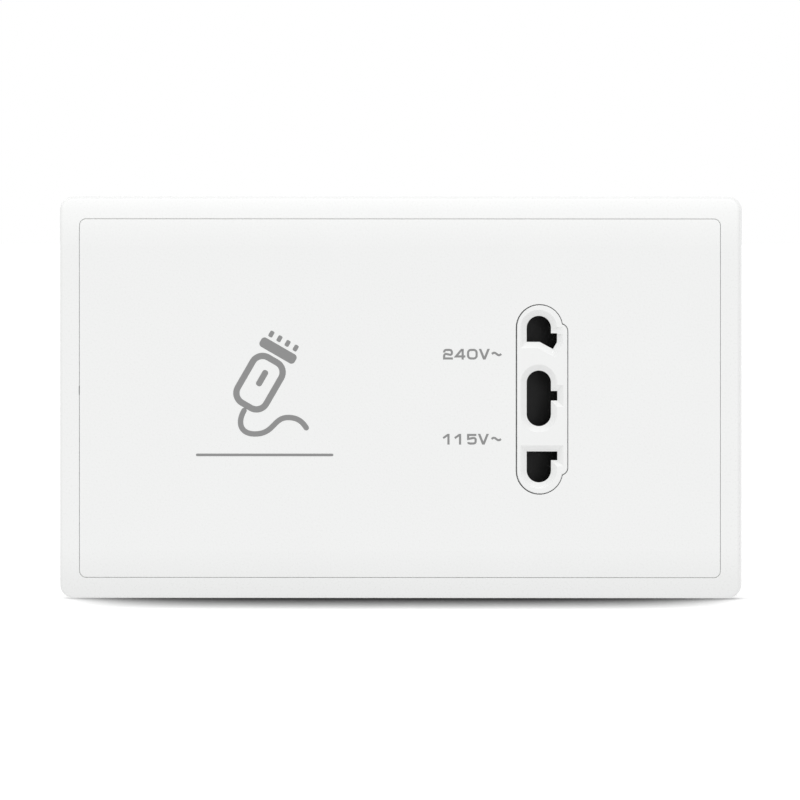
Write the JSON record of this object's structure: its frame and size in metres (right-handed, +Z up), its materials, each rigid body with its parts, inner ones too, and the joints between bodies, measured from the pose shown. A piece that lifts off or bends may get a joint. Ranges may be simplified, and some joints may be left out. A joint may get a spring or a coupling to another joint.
{
  "type": "shaver socket",
  "caption": "White two-gang wall socket for shavers, with a shuttered multi-standard outlet, a clip-on cover and an isolating transformer behind.",
  "frame": {"origin": "middle of the wall plane, halfway between the two fixing holes", "axes": "+X to the right and +Z up, seen from the room; +Y into the wall"},
  "size_m": [0.146, 0.0485, 0.086],
  "materials": {
    "face_white": "satin gloss, moulded urea or polycarbonate",
    "boss_white": "satin gloss",
    "housing_white": "fine matt",
    "carrier_natural": "natural nylon",
    "shutter_black": "smooth black",
    "bobbin_nylon": "natural nylon",
    "spring_steel": "drawn wire",
    "screw_steel": "zinc plated",
    "strap_steel": "zinc plated sheet",
    "core_steel": "varnished laminations",
    "contact_brass": "rolled",
    "terminal_brass": "machined",
    "tag_tin": "tinned",
    "winding_tape": "wound and taped",
    "cutout_black": "smooth",
    "lead_brown": "insulation",
    "lead_blue": "insulation",
    "lead_white": "insulation",
    "ink_grey": "printed numbers and sign"
  },
  "bodies": {
    "root": {"mounting_frame": "face_white", "front_cover": "face_white", "socket_face": "boss_white", "shutter_spring": "spring_steel", "switch_contact_line": "contact_brass", "switch_contact_load": "contact_brass", "contact_carrier": "carrier_natural", "contact_lid": "carrier_natural", "contact_240": "contact_brass", "contact_common": "contact_brass", "contact_115": "contact_brass", "carrier_screws": "screw_steel", "socket_screws": "screw_steel", "housing_screws": "screw_steel", "rear_housing": "housing_white", "terminal_live": "terminal_brass", "terminal_neutral": "terminal_brass", "terminal_earth": "terminal_brass", "terminal_screws": "screw_steel", "transformer_core": "core_steel", "core_strap": "strap_steel", "bobbin": "bobbin_nylon", "winding_tags": "tag_tin", "primary_winding": "winding_tape", "secondary_winding": "winding_tape", "thermal_cutout": "cutout_black", "lead_live": "lead_brown", "lead_switched": "lead_brown", "lead_primary": "lead_brown", "lead_neutral": "lead_blue", "lead_240": "lead_white", "lead_115": "lead_white", "lead_common": "lead_white"},
    "shutter_body": {"shutter": "shutter_black", "switch_bridge": "contact_brass"}
  },
  "joints": [
    {"name": "shutter_slide", "type": "slide", "parent": "root", "child": "shutter_body", "axis": [-1, 0, 0], "range_m": [0, 0.0074], "stiffness_N_per_m": 60, "springref_m": -0.004, "deforming": ["shutter_spring"]}
  ]
}
